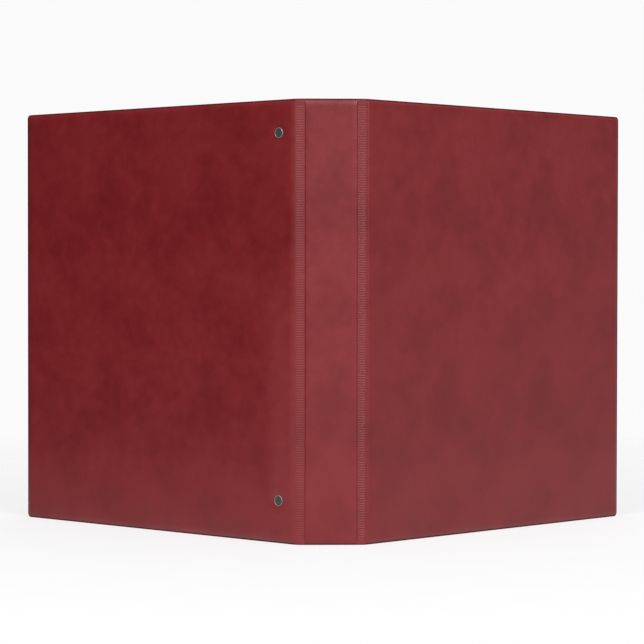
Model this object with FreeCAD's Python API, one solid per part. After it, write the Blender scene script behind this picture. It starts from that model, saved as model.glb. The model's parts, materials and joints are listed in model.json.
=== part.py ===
import FreeCAD, Part
import math
import os

# Coin album: three welded vinyl panels, a three-ring metal on the back cover and clear coin pages.
# The album stands on its lower edges. +Z is up, +X runs along the spine's width towards the front
# cover, and the spine's outer face looks along -Y. The origin is the middle of the spine's foot.

# Panels, in millimetres
album_height = 295.0
cover_width = 264.8
spine_width = 36.7
web_spine_side = 3.9
web_cover_side = 1.7
rest_angle = 43.0
board_thickness = 2.0
vinyl_thickness = 0.5
flange_width = 2.2
bevel_width = 0.9
board_clearance = 0.1
fore_corner_radius = 3.0
pad_corner_radius = 2.5

# Ring metal
ring_radius = 12.2
wire_radius = 1.25
ring_spine_clearance = 0.4
ring_end_gap = 0.2
ring_leg_angle = 40.0
plate_beyond_ring = 1.2
plate_side_run = 5.0
plate_height = 8.0
plate_sheet = 1.0
plate_lip = 3.4
plate_end_margin = 11.5
metal_rise = 3.2
rivet_inset = 13.75
ring_to_rivet = 14.25
blade_thickness = 1.2
blade_lift = 0.3
blade_clearance = 0.35
blade_gap = 0.3
wire_slot_clearance = 0.8
wire_slot_inset = 2.0
wire_slot_edge = 0.5
ear_length = 8.0
lever_pin_inset = 4.0
lever_pin_radius = 1.2
lever_pin_height = 4.5
lever_hub_radius = 2.6
lever_length = 11.5
lever_thickness = 1.8
lever_rake = 46.5
lever_side_clearance = 0.9
lever_end_clearance = 0.5
pin_clearance = 0.05

# Rivets
rivet_radius = 2.3
rivet_clearance = 0.1
rivet_head_radius = 3.6
rivet_head_thickness = 0.6
rivet_recess_radius = 2.7
rivet_recess_depth = 0.3
post_wall = 0.85
post_clearance = 1.0

# Coin pages and inside pockets
page_count = 4
page_width = 234.0
page_end_margin = 7.8
sheet_thickness = 0.3
page_pitch = 0.8
page_hole_radius = 4.0
page_hole_inset = 7.0
binding_strip = 20.0
pocket_inset = 2.0
first_page_angle = 10.0
page_step_angle = 4.0
cover_pocket_thickness = 0.35
cover_pocket_height = 142.0
cover_pocket_margin = 8.0

# Places that follow from the sizes above
hinge_x = spine_width / 2 + web_spine_side
half_thickness = board_thickness / 2 + vinyl_thickness
flange_half = vinyl_thickness
plate_top = half_thickness + plate_height
plate_half_width = ring_radius * math.cos(math.radians(ring_leg_angle)) + plate_beyond_ring
crown_half_width = plate_half_width - plate_side_run
ring_u = half_thickness + ring_spine_clearance + ring_radius + wire_radius
ring_v = plate_top + ring_radius * math.sin(math.radians(ring_leg_angle))
metal_middle = album_height / 2 + metal_rise
plate_length = album_height - 2 * plate_end_margin
blade_length = plate_length - 2 * ear_length
rivet_spacing = plate_length - 2 * rivet_inset
ring_spacing = rivet_spacing / 2 - ring_to_rivet
blade_top = half_thickness + plate_sheet + blade_lift + blade_thickness
lever_pin_v = half_thickness + lever_pin_height
lever_half_width = crown_half_width - lever_side_clearance
post_radius = rivet_radius + rivet_clearance + post_wall
cover_fore = web_cover_side + cover_width
page_inner = ring_radius - page_hole_inset


def slopeInner(v):
    """Half width of the plate's inside at a height v above the cover's middle."""
    length = math.hypot(plate_side_run, plate_height)
    outer = plate_half_width - (v - half_thickness) * plate_side_run / plate_height
    return outer - plate_sheet * length / plate_height


blade_outer = slopeInner(blade_top) - blade_clearance


def box(x0, x1, y0, y1, z0, z1):
    return Part.makeBox(x1 - x0, y1 - y0, z1 - z0, FreeCAD.Vector(x0, y0, z0))


def post(x, z, y0, y1, radius):
    """A round bar along Y."""
    base = FreeCAD.Vector(x, y0, z)
    return Part.makeCylinder(radius, y1 - y0, base, FreeCAD.Vector(0, 1, 0))


def barAlongX(x0, x1, y, z, radius):
    base = FreeCAD.Vector(x0, y, z)
    return Part.makeCylinder(radius, x1 - x0, base, FreeCAD.Vector(1, 0, 0))


def prismAlongZ(points, z0, z1):
    corners = [FreeCAD.Vector(x, y, z0) for x, y in points]
    outline = Part.makePolygon(corners + corners[:1])
    return Part.Face(outline).extrude(FreeCAD.Vector(0, 0, z1 - z0))


def slab(x0, x1, z0, z1, y0, y1, radius):
    """A flat plate whose two corners on the far side of X are rounded."""
    plate = box(x0, x1, y0, y1, z0, z1)
    if radius <= 0:
        return plate
    corners = []
    for edge in plate.Edges:
        middle = edge.BoundBox.Center
        along_y = edge.BoundBox.YLength > (y1 - y0) / 2
        if along_y and abs(middle.x - x1) < 1e-6:
            corners.append(edge)
    return plate.makeFillet(radius, corners)


def placeFront(shape):
    """From the cover's own frame (from the hinge axis outwards, inwards, up) to the front cover."""
    placed = shape.copy()
    placed.rotate(FreeCAD.Vector(0, 0, 0), FreeCAD.Vector(0, 0, 1), rest_angle)
    placed.translate(FreeCAD.Vector(hinge_x, 0, 0))
    return placed


def placeBack(shape):
    """The same frame on the back cover, which mirrors the front one."""
    return placeFront(shape).mirror(FreeCAD.Vector(0, 0, 0), FreeCAD.Vector(1, 0, 0))


def outerSkin(x0, x1, flange_corner, pad_corner):
    """One vinyl sheet: a flat weld flange, a bevelled pad over the board and half the board's room."""
    flange = slab(x0, x1, 0, album_height, -flange_half, 0, flange_corner)
    px0 = x0 + flange_width
    px1 = x1 - flange_width
    pz0 = flange_width
    pz1 = album_height - flange_width
    pad = slab(px0, px1, pz0, pz1, -half_thickness, 0, pad_corner)
    rim = []
    for edge in pad.Edges:
        if edge.BoundBox.YMax < -half_thickness + 1e-6:
            rim.append(edge)
    pad = pad.makeChamfer(bevel_width, rim)
    skin = flange.fuse(pad).removeSplitter()
    room = boardRoom(x0, x1, pad_corner, 0)
    return skin.cut(room)


def boardRoom(x0, x1, pad_corner, clearance):
    """The space that a board takes, less a clearance on its edges."""
    inset = flange_width + bevel_width + clearance
    corner = 0
    if pad_corner > bevel_width:
        corner = pad_corner - bevel_width
    half = board_thickness / 2
    z0 = inset
    z1 = album_height - inset
    return slab(x0 + inset, x1 - inset, z0, z1, -half, half, corner)


def innerSkin(x0, x1, flange_corner, pad_corner):
    skin = outerSkin(x0, x1, flange_corner, pad_corner)
    return skin.mirror(FreeCAD.Vector(0, 0, 0), FreeCAD.Vector(0, 1, 0))


def rivetHeights():
    return {
        "top": metal_middle + rivet_spacing / 2,
        "bottom": metal_middle - rivet_spacing / 2,
    }


def withRivetHoles(shape):
    for z in rivetHeights().values():
        radius = rivet_radius + rivet_clearance
        shape = shape.cut(post(ring_u, z, -plate_top, plate_top, radius))
    return shape


def hingeWeb():
    """The ribbed vinyl band between two panels: flat beside the spine, then bent to the rest angle."""
    bend = web_cover_side / math.tan(math.radians(rest_angle / 2))
    centre = FreeCAD.Vector(-web_cover_side, bend, 0)
    outer = [FreeCAD.Vector(-web_spine_side, -flange_half, 0)]
    inner = [FreeCAD.Vector(-web_spine_side, flange_half, 0)]
    for turn in (0, rest_angle / 2, rest_angle):
        angle = math.radians(turn - 90)
        way = FreeCAD.Vector(math.cos(angle), math.sin(angle), 0)
        outer.append(centre + way * (bend + flange_half))
        inner.append(centre + way * (bend - flange_half))
    edges = [
        Part.LineSegment(outer[0], outer[1]).toShape(),
        Part.Arc(*outer[1:]).toShape(),
        Part.LineSegment(outer[3], inner[3]).toShape(),
        Part.Arc(*reversed(inner[1:])).toShape(),
        Part.LineSegment(inner[1], inner[0]).toShape(),
        Part.LineSegment(inner[0], outer[0]).toShape(),
    ]
    band = Part.Face(Part.Wire(edges)).extrude(FreeCAD.Vector(0, 0, album_height))
    band.translate(FreeCAD.Vector(hinge_x, 0, 0))
    return band


def ringPlate():
    """Arched steel plate with inward lips, slots for the wires and two ears at each end."""
    low = half_thickness
    lip_top = low + plate_sheet
    under = plate_top - plate_sheet
    right = [
        (plate_half_width - plate_lip, low),
        (plate_half_width, low),
        (crown_half_width, plate_top),
    ]
    right_inside = [
        (slopeInner(under), under),
        (slopeInner(lip_top), lip_top),
        (plate_half_width - plate_lip, lip_top),
    ]
    left = [(-x, y) for x, y in reversed(right)]
    left_inside = [(-x, y) for x, y in reversed(right_inside)]
    outline = right + left + left_inside + right_inside
    z0 = metal_middle - plate_length / 2
    z1 = metal_middle + plate_length / 2
    plate = prismAlongZ(outline, z0, z1)
    slot_half = wire_radius + wire_slot_clearance
    over = plate_top + plate_sheet
    for z in ringHeights().values():
        for side in (-1, 1):
            near = side * (crown_half_width - wire_slot_inset)
            far = side * (plate_half_width - wire_slot_edge)
            ends = sorted((near, far))
            slot = box(*ends, blade_top + wire_slot_edge, over, z - slot_half, z + slot_half)
            plate = plate.cut(slot)
    open_half = lever_half_width + lever_side_clearance / 2
    reach = ear_length - lever_end_clearance
    for end0, end1 in ((z0, z0 + reach), (z1 - reach, z1)):
        plate = plate.cut(box(-open_half, open_half, 0, over, end0, end1))
    for z in leverHeights().values():
        radius = lever_pin_radius + pin_clearance
        plate = plate.cut(barAlongX(-plate_half_width, plate_half_width, lever_pin_v, z, radius))
    plate.translate(FreeCAD.Vector(ring_u, 0, 0))
    return withRivetHoles(plate)


def ringHeights():
    return {
        "top": metal_middle + ring_spacing,
        "middle": metal_middle,
        "bottom": metal_middle - ring_spacing,
    }


def leverHeights():
    reach = plate_length / 2 - lever_pin_inset
    return {"top": metal_middle + reach, "bottom": metal_middle - reach}


def blade():
    """The fore edge blade, notched round the rivet posts."""
    z0 = metal_middle - blade_length / 2
    z1 = metal_middle + blade_length / 2
    bottom = blade_top - blade_thickness
    strip = box(blade_gap / 2, blade_outer, bottom, blade_top, z0, z1)
    for z in rivetHeights().values():
        strip = strip.cut(post(0, z, 0, plate_top, post_radius + post_clearance))
    strip.translate(FreeCAD.Vector(ring_u, 0, 0))
    return strip


def ringHalf(z):
    """A round wire from the ring's top, round the fore edge side and down to the blade."""
    top = math.pi / 2 - math.asin(ring_end_gap / 2 / ring_radius)
    foot = -math.radians(ring_leg_angle)
    arc = []
    for angle in (top, (top + foot) / 2, foot):
        x = ring_radius * math.cos(angle)
        y = ring_v + ring_radius * math.sin(angle)
        arc.append(FreeCAD.Vector(x, y, z))
    down = FreeCAD.Vector(math.sin(foot), -math.cos(foot), 0)
    leg = (arc[2].y - blade_top + 2 * wire_radius) / abs(down.y)
    straight = Part.LineSegment(arc[2], arc[2] + down * leg)
    path = Part.Wire([Part.Arc(*arc).toShape(), straight.toShape()])
    start_way = FreeCAD.Vector(math.sin(top), -math.cos(top), 0)
    section = Part.Wire([Part.Circle(arc[0], start_way, wire_radius).toShape()])
    wire = path.makePipeShell([section], True, False)
    reach = ring_radius + wire_radius
    wire = wire.cut(box(-reach, reach, blade_top - 3 * reach, blade_top, z - reach, z + reach))
    wire.translate(FreeCAD.Vector(ring_u, 0, 0))
    return wire


def onSpineSide(shape):
    """The ring metal is the same on both sides of its middle plane."""
    return shape.mirror(FreeCAD.Vector(ring_u, 0, 0), FreeCAD.Vector(1, 0, 0))


def upsideDown(shape):
    return shape.mirror(FreeCAD.Vector(0, 0, metal_middle), FreeCAD.Vector(0, 0, 1))


def topLever():
    """A tab on a hub, leaning outwards from the plate's end."""
    z = leverHeights()["top"]
    half = lever_half_width
    y0 = lever_pin_v
    hub = barAlongX(-half, half, y0, z, lever_hub_radius)
    tab = box(-half, half, y0 - lever_thickness / 2, y0 + lever_thickness / 2, z, z + lever_length)
    corners = []
    for edge in tab.Edges:
        middle = edge.BoundBox.Center
        at_end = abs(middle.z - z - lever_length) < 1e-6
        if at_end and edge.BoundBox.YLength > lever_thickness / 2:
            corners.append(edge)
    tab = tab.makeFillet(half / 2, corners)
    tab.rotate(FreeCAD.Vector(0, y0, z), FreeCAD.Vector(1, 0, 0), -lever_rake)
    lever = hub.fuse(tab).removeSplitter()
    lever = lever.cut(barAlongX(-half, half, y0, z, lever_pin_radius + pin_clearance))
    lever.translate(FreeCAD.Vector(ring_u, 0, 0))
    return lever


def topLeverPin():
    z = leverHeights()["top"]
    half = slopeInner(lever_pin_v) + 2 * plate_sheet
    pin = barAlongX(-half, half, lever_pin_v, z, lever_pin_radius)
    pin.translate(FreeCAD.Vector(ring_u, 0, 0))
    return pin


def rivet(z):
    """Flat dished head outside, shank through the cover and post, and a clinched end on the plate."""
    outside = -half_thickness
    face = outside - rivet_head_thickness
    head = post(ring_u, z, face, outside, rivet_head_radius)
    head = head.cut(post(ring_u, z, face, face + rivet_recess_depth, rivet_recess_radius))
    shank = post(ring_u, z, outside, plate_top, rivet_radius)
    clinch = post(ring_u, z, plate_top, plate_top + rivet_head_thickness, rivet_head_radius)
    return head.fuse([shank, clinch]).removeSplitter()


def rivetPost(z):
    top = plate_top - plate_sheet
    sleeve = post(ring_u, z, half_thickness, top, post_radius)
    return sleeve.cut(post(ring_u, z, half_thickness, top, rivet_radius + rivet_clearance))


def coverPocket(x0):
    """Clear sheet welded to the inside of a cover, open along its top."""
    x1 = cover_fore - cover_pocket_margin
    z0 = cover_pocket_margin
    y0 = half_thickness
    return box(x0, x1, y0, y0 + cover_pocket_thickness, z0, z0 + cover_pocket_height)


def pagePlace(shape, number):
    """From the ring's centre to the page's angle at rest."""
    placed = shape.copy()
    angle = first_page_angle + (number - 1) * page_step_angle
    placed.rotate(FreeCAD.Vector(0, 0, 0), FreeCAD.Vector(0, 0, 1), angle)
    placed.translate(FreeCAD.Vector(ring_u, ring_v, 0))
    return placed


def pageOffset(number):
    """Pages lie side by side when the album is closed, so each has its own plane."""
    return (number - (page_count + 1) / 2) * page_pitch


def pageEnds():
    half = album_height / 2 - page_end_margin
    return metal_middle - half, metal_middle + half


def pageBackSheet(number):
    """Clear sheet with the punched binding strip."""
    z0, z1 = pageEnds()
    middle = pageOffset(number)
    sheet = box(page_inner, page_inner + page_width, middle - sheet_thickness, middle, z0, z1)
    for z in ringHeights().values():
        reach = 2 * sheet_thickness
        sheet = sheet.cut(post(ring_radius, z, middle - reach, middle + reach, page_hole_radius))
    return pagePlace(sheet, number)


def pagePocketSheet(number):
    """Clear sheet welded over the back sheet to form the coin pockets."""
    z0, z1 = pageEnds()
    middle = pageOffset(number)
    x0 = page_inner + binding_strip
    x1 = page_inner + page_width - pocket_inset
    sheet = box(x0, x1, middle, middle + sheet_thickness, z0 + pocket_inset, z1 - pocket_inset)
    return pagePlace(sheet, number)


def panels():
    """The three welded panels with their boards, bands and inside pockets."""
    half_spine = spine_width / 2
    cover = (web_cover_side, cover_fore, fore_corner_radius, pad_corner_radius)
    spine = (-half_spine, half_spine, 0, 0)
    cover_board = boardRoom(web_cover_side, cover_fore, pad_corner_radius, board_clearance)
    beside_plate = ring_u + plate_half_width + cover_pocket_margin
    return {
        "spine_outer_vinyl": outerSkin(*spine),
        "spine_board": boardRoom(-half_spine, half_spine, 0, board_clearance),
        "spine_inner_vinyl": innerSkin(*spine),
        "front_hinge_web": hingeWeb(),
        "back_hinge_web": hingeWeb().mirror(FreeCAD.Vector(0, 0, 0), FreeCAD.Vector(1, 0, 0)),
        "front_cover_outer_vinyl": placeFront(outerSkin(*cover)),
        "front_cover_board": placeFront(cover_board),
        "front_cover_inner_vinyl": placeFront(innerSkin(*cover)),
        "front_cover_pocket": placeFront(coverPocket(web_cover_side + cover_pocket_margin)),
        "back_cover_outer_vinyl": placeBack(withRivetHoles(outerSkin(*cover))),
        "back_cover_board": placeBack(withRivetHoles(cover_board)),
        "back_cover_inner_vinyl": placeBack(withRivetHoles(innerSkin(*cover))),
        "back_cover_pocket": placeBack(coverPocket(beside_plate)),
    }


def ringMetal():
    """Everything that the two rivets hold to the back cover."""
    pieces = {"ring_plate": placeBack(ringPlate())}
    pieces["fore_edge_blade"] = placeBack(blade())
    pieces["spine_side_blade"] = placeBack(onSpineSide(blade()))
    for name, z in ringHeights().items():
        pieces["ring_half_fore_" + name] = placeBack(ringHalf(z))
        pieces["ring_half_spine_" + name] = placeBack(onSpineSide(ringHalf(z)))
    pieces["lever_top"] = placeBack(topLever())
    pieces["lever_bottom"] = placeBack(upsideDown(topLever()))
    pieces["lever_pin_top"] = placeBack(topLeverPin())
    pieces["lever_pin_bottom"] = placeBack(upsideDown(topLeverPin()))
    for name, z in rivetHeights().items():
        pieces["rivet_" + name] = placeBack(rivet(z))
        pieces["rivet_post_" + name] = placeBack(rivetPost(z))
    return pieces


def coinPages():
    pieces = {}
    for number in range(1, page_count + 1):
        pieces[f"coin_page_{number}_back_sheet"] = placeBack(pageBackSheet(number))
        pieces[f"coin_page_{number}_pocket_sheet"] = placeBack(pagePocketSheet(number))
    return pieces


def main():
    os.makedirs("parts", exist_ok=True)
    pieces = {**panels(), **ringMetal(), **coinPages()}
    for name, shape in pieces.items():
        shape.exportStep(f"parts/{name}.step")
        print(f"{name}: {len(shape.Solids)} solid, {shape.Volume:.1f} mm3, valid {shape.isValid()}")


main()
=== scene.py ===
import json
import math
import bpy
import bmesh
from mathutils import Matrix, Vector, noise


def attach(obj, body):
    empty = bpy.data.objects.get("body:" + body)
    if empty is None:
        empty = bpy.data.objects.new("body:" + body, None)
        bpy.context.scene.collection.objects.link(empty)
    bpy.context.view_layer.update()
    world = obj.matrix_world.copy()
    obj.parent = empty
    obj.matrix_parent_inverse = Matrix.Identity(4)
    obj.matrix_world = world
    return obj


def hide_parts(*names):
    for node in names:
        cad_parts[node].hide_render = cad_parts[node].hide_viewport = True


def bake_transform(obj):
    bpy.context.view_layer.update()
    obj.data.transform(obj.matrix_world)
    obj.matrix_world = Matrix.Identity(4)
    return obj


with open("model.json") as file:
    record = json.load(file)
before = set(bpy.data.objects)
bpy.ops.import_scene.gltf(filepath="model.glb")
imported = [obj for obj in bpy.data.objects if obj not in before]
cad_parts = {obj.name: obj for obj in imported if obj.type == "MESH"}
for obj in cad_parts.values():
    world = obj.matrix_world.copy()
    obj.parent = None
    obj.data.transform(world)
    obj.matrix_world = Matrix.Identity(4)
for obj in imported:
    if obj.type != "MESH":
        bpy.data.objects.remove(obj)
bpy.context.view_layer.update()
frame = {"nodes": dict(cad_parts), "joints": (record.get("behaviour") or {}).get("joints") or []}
mm = 0.001
joints = {joint["name"]: joint for joint in frame["joints"]}
print("frame loaded:", len(frame["nodes"]), "nodes")

# Each cover has its own frame: u runs out from its hinge, v inwards and z up.
frontHinge = joints["front_cover_hinge"]
hingeX = frontHinge["pos_m"][0]
restAngle = math.radians(90 + frontHinge["range_deg"][0])  # a closed cover is square to the spine
spinePlace = Matrix.Identity(4)
frontPlace = Matrix.Translation((hingeX, 0, 0)) @ Matrix.Rotation(restAngle, 4, "Z")
backPlace = Matrix.Scale(-1, 4, (1, 0, 0)) @ frontPlace


def localBox(node, place):
    back = place.inverted()
    points = [back @ v.co for v in frame["nodes"][node].data.vertices]
    low = Vector([min(p[i] for p in points) for i in range(3)])
    high = Vector([max(p[i] for p in points) for i in range(3)])
    return low, high


def lerp(a, b, share):
    return a + (b - a) * share


def smooth(low, high, value):
    share = min(1.0, max(0.0, (value - low) / (high - low)))
    return share * share * (3 - 2 * share)


# node helpers for the materials
def addNode(tree, kind, values=None, **settings):
    made = tree.nodes.new("ShaderNode" + kind)
    for key, value in settings.items():
        setattr(made, key, value)
    for key, value in (values or {}).items():
        if isinstance(value, bpy.types.NodeSocket):
            tree.links.new(value, made.inputs[key])
        else:
            made.inputs[key].default_value = value
    return made


def startMaterial(name, **sockets):
    material = bpy.data.materials.new(name)
    material.use_nodes = True
    tree = material.node_tree
    shader = tree.nodes["Principled BSDF"]
    for key, value in sockets.items():
        shader.inputs[key.replace("_", " ")].default_value = value
    return material, tree, shader


def attribute(tree, name, output="Fac"):
    return addNode(tree, "Attribute", attribute_name=name).outputs[output]


def maths(tree, operation, a, b=0.0):
    return addNode(tree, "Math", {0: a, 1: b}, operation=operation).outputs[0]


def mixColour(tree, share, a, b, mode="MIX"):
    made = addNode(tree, "Mix", {0: share, 6: a, 7: b}, data_type="RGBA", blend_type=mode)
    return made.outputs[2]


def spread(tree, value, low, high, toLow, toHigh):
    keys = {0: value, 1: low, 2: high, 3: toLow, 4: toHigh}
    return addNode(tree, "MapRange", keys, clamp=True).outputs[0]


def speckle(tree, place, size, detail=2.0, roughness=0.5):
    values = {"Vector": place, "Scale": 1 / size, "Detail": detail, "Roughness": roughness}
    return addNode(tree, "TexNoise", values).outputs[0]


def bumped(tree, shader, height, distance, strength):
    values = {"Height": height, "Distance": distance, "Strength": strength}
    made = addNode(tree, "Bump", values)
    tree.links.new(made.outputs[0], shader.inputs["Normal"])


# vinyl: a mottled print that repeats down and across the sheet, with a fine leather grain
vinylLook = {
    "tileWide": 100 * mm,
    "tileTall": 140 * mm,
    "blotch": 34 * mm,
    "blotchSeed": 3.7,
    "fuzz": 4.0 * mm,
    "patch": 9 * mm,  # broad patches that are a little lighter and duller
    "fleck": 0.7 * mm,
    "grain": 0.9 * mm,
    "pore": 0.35 * mm,
    "grainDepth": 0.06 * mm,
    "darkBelow": (0.37, 0.53),  # the print's dark blotches lie below these noise levels
    "warmAbove": (0.54, 0.68),
    "warmth": (1.04, 1.20, 1.20),
    # edgeDark darkens the colour at the cut edges down to this share: a painted dark outline, painted shade
    "edgeDark": 0.35,
    "edgeDull": 0.45,
    "burgundy": (0.182, 0.0124, 0.0150, 1),
    "dusky": (0.152, 0.0088, 0.0114, 1),
    "lining": (0.150, 0.0115, 0.0140, 1),
    "liningDusky": (0.125, 0.0115, 0.0145, 1),
    # the welded edge colours are darker than the print: a real weld with painted shade along the edge
    "welded": (0.150, 0.0110, 0.0150, 1),
    "weldedDusky": (0.130, 0.0100, 0.0140, 1),
    "paleGain": 1.12,
    "paleLift": 0.012,
    "fuzzSwing": 0.03,
    "patchShade": (0.93, 1.07),
    "fleckShade": (0.95, 1.05),
    "glossier": 0.05,
    "duller": 0.06,
}


def printedVinyl(name, light, dark, roughness, blotchShare=1.0, grainStrength=0.3, shine=0.42):
    material, tree, shader = startMaterial(name, Specular_IOR_Level=shine)
    flat = attribute(tree, "flatPlace", "Vector")
    parts = addNode(tree, "SeparateXYZ", {0: flat})
    across = maths(tree, "MULTIPLY", parts.outputs[0], 2 * math.pi / vinylLook["tileWide"])
    up = maths(tree, "MULTIPLY", parts.outputs[1], 2 * math.pi / vinylLook["tileTall"])
    reachAcross = vinylLook["tileWide"] / (2 * math.pi * vinylLook["blotch"])
    reachUp = vinylLook["tileTall"] / (2 * math.pi * vinylLook["blotch"])
    ring = []
    for turn, reach in ((across, reachAcross), (up, reachUp)):
        for wave in ("SINE", "COSINE"):
            away = maths(tree, "MULTIPLY", maths(tree, wave, turn), reach)
            ring.append(maths(tree, "ADD", away, vinylLook["blotchSeed"]))
    loop = addNode(tree, "CombineXYZ", {0: ring[0], 1: ring[1], 2: ring[2]}).outputs[0]
    values = {"Vector": loop, "W": ring[3], "Scale": 1.0, "Detail": 5.0, "Roughness": 0.55}
    blotches = addNode(tree, "TexNoise", values, noise_dimensions="4D").outputs[0]
    fuzz = speckle(tree, flat, vinylLook["fuzz"], 4.0, 0.65)
    swing = vinylLook["fuzzSwing"]
    fuzzed = maths(tree, "ADD", blotches, spread(tree, fuzz, 0.2, 0.8, -swing, swing))
    share = spread(tree, fuzzed, *vinylLook["darkBelow"], blotchShare, 0.0)
    warm = tuple(c * more for c, more in zip(light, vinylLook["warmth"])) + (1,)
    clear = mixColour(tree, spread(tree, fuzzed, *vinylLook["warmAbove"], 0.0, blotchShare), light, warm)
    mottled = mixColour(tree, share, clear, dark)
    edge = attribute(tree, "edgeTone")
    paintedSheen = spread(tree, edge, -1.0, 0.0, 1.0, 0.0)  # edgeTone: below zero is a painted sheen beside the hinge, a painted reflection; above zero is the painted dark outline along the welded edge, painted shade
    # the painted sheen is mixed in as a paler colour: a painted reflection
    paintedSheenTone = tuple(vinylLook["paleGain"] * c + vinylLook["paleLift"] for c in light[:3]) + (1,)
    base = mixColour(tree, paintedSheen, mottled, paintedSheenTone)
    broad = speckle(tree, flat, vinylLook["patch"], 3.0, 0.6)
    level = spread(tree, broad, 0.25, 0.75, *vinylLook["patchShade"])
    flecks = speckle(tree, flat, vinylLook["fleck"], 2.0)
    fine = spread(tree, flecks, 0.2, 0.8, *vinylLook["fleckShade"])
    shade = maths(tree, "MULTIPLY", level, fine)
    # darker towards the cut edges: a painted dark outline, painted shade on top of the random tone
    toneAndPaintedEdgeShade = maths(tree, "MULTIPLY", shade, spread(tree, edge, 0.0, 1.0, 1.0, vinylLook["edgeDark"]))
    tint = addNode(tree, "CombineColor", {0: toneAndPaintedEdgeShade, 1: toneAndPaintedEdgeShade, 2: toneAndPaintedEdgeShade}).outputs[0]
    colour = mixColour(tree, 1.0, base, tint, "MULTIPLY")
    tree.links.new(colour, shader.inputs["Base Color"])
    shiniest, dullest = roughness - vinylLook["glossier"], roughness + vinylLook["duller"]
    gloss = spread(tree, broad, 0.3, 0.7, shiniest, dullest)
    dulled = maths(tree, "ADD", gloss, spread(tree, edge, 0.1, 0.7, 0.0, vinylLook["edgeDull"]))
    tree.links.new(dulled, shader.inputs["Roughness"])
    values = {"Vector": flat, "Scale": 1 / vinylLook["grain"], "Randomness": 0.9}
    cells = addNode(tree, "TexVoronoi", values, feature="SMOOTH_F1").outputs[0]
    pores = speckle(tree, flat, vinylLook["pore"], 2.0)
    height = maths(tree, "ADD", cells, maths(tree, "MULTIPLY", pores, 0.5))
    bumped(tree, shader, height, vinylLook["grainDepth"], grainStrength)
    return material


printed = (vinylLook["burgundy"], vinylLook["dusky"])
lining = (vinylLook["lining"], vinylLook["liningDusky"])
welded = (vinylLook["welded"], vinylLook["weldedDusky"])
outerVinyl = printedVinyl("burgundyPrintedVinyl", *printed, 0.38)
innerVinyl = printedVinyl("burgundyLiningVinyl", *lining, 0.46, 0.6)
hingeVinyl = printedVinyl("burgundyHingeVinyl", *printed, 0.48, 0.8, 0.1)
weldedVinyl = printedVinyl("burgundyWeldedShadedEdge", *welded, 0.6, 0.5, 0.1, 0.08)


# metals, board and clear sheet
metalLook = {"streak": 0.35 * mm, "streakDepth": 0.02 * mm, "cloud": 6 * mm, "tarnished": 0.55}
boardLook = {
    "fibre": 1.5 * mm,
    "fibreDepth": 0.1 * mm,
    "darkPulp": (0.20, 0.17, 0.13, 1),
    "palePulp": (0.34, 0.30, 0.24, 1),
}
clearLook = {"haze": 16 * mm, "hazeDepth": 0.4 * mm, "scuff": 1.1 * mm, "milky": 1.06}


def metalFinish(name, tone, roughness, brushed=0.0, tarnish=0.2, metallic=1.0):
    material, tree, shader = startMaterial(name, Metallic=metallic)
    place = addNode(tree, "TexCoord").outputs["Object"]
    stretch = addNode(tree, "Mapping", {0: place, 3: (1, 1, 1 - 0.96 * brushed)}).outputs[0]
    streaks = speckle(tree, stretch, metalLook["streak"], 4.0, 0.7)
    cloud = speckle(tree, place, metalLook["cloud"], 4.0, 0.6)
    darker = tuple(metalLook["tarnished"] * c for c in tone[:3]) + (1,)
    share = spread(tree, cloud, 0.45, 0.75, 0.0, tarnish)
    tree.links.new(mixColour(tree, share, tone, darker), shader.inputs["Base Color"])
    gloss = maths(tree, "ADD", spread(tree, streaks, 0.2, 0.8, -0.06, 0.08), roughness)
    tree.links.new(gloss, shader.inputs["Roughness"])
    bumped(tree, shader, streaks, metalLook["streakDepth"], 0.25)
    return material


nickel = metalFinish("platedSteel", (0.72, 0.71, 0.68, 1), 0.22, 1.0)
darkRivet = metalFinish("rivetFace", (0.045, 0.066, 0.060, 1), 0.55, 0.0, 0.5, 0.3)
paleRivet = metalFinish("rivetRim", (0.34, 0.27, 0.27, 1), 0.40, 0.0, 0.3, 0.6)


def chipboardFinish():
    material, tree, shader = startMaterial("greyChipboard", Specular_IOR_Level=0.2)
    place = addNode(tree, "TexCoord").outputs["Object"]
    drawn = addNode(tree, "Mapping", {0: place, 3: (1, 1, 0.25)}).outputs[0]
    fibres = speckle(tree, drawn, boardLook["fibre"], 6.0, 0.7)
    share = spread(tree, fibres, 0.3, 0.7, 0, 1)
    pulp = mixColour(tree, share, boardLook["darkPulp"], boardLook["palePulp"])
    tree.links.new(pulp, shader.inputs["Base Color"])
    tree.links.new(spread(tree, fibres, 0.3, 0.7, 0.85, 0.95), shader.inputs["Roughness"])
    bumped(tree, shader, fibres, boardLook["fibreDepth"], 0.4)
    return material


def clearSheet(name, tone, alpha, roughness):
    material, tree, shader = startMaterial(name, Alpha=alpha, Specular_IOR_Level=0.6, IOR=1.5)
    place = addNode(tree, "TexCoord").outputs["Object"]
    haze = speckle(tree, place, clearLook["haze"], 1.0, 0.4)
    milky = tuple(min(1.0, clearLook["milky"] * c) for c in tone[:3]) + (1,)
    clouded = mixColour(tree, spread(tree, haze, 0.35, 0.65, 0, 1), tone, milky)
    tree.links.new(clouded, shader.inputs["Base Color"])
    scuffs = speckle(tree, place, clearLook["scuff"], 3.0, 0.6)
    gloss = spread(tree, scuffs, 0.3, 0.7, roughness * 0.8, roughness * 1.3)
    tree.links.new(gloss, shader.inputs["Roughness"])
    bumped(tree, shader, haze, clearLook["hazeDepth"], 0.1)
    return material


chipboard = chipboardFinish()
clearPocket = clearSheet("clearPocketVinyl", (0.80, 0.83, 0.84, 1), 0.065, 0.10)
clearWeld = clearSheet("clearWeldVinyl", (0.86, 0.88, 0.89, 1), 0.42, 0.30)
print("materials made")


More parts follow.
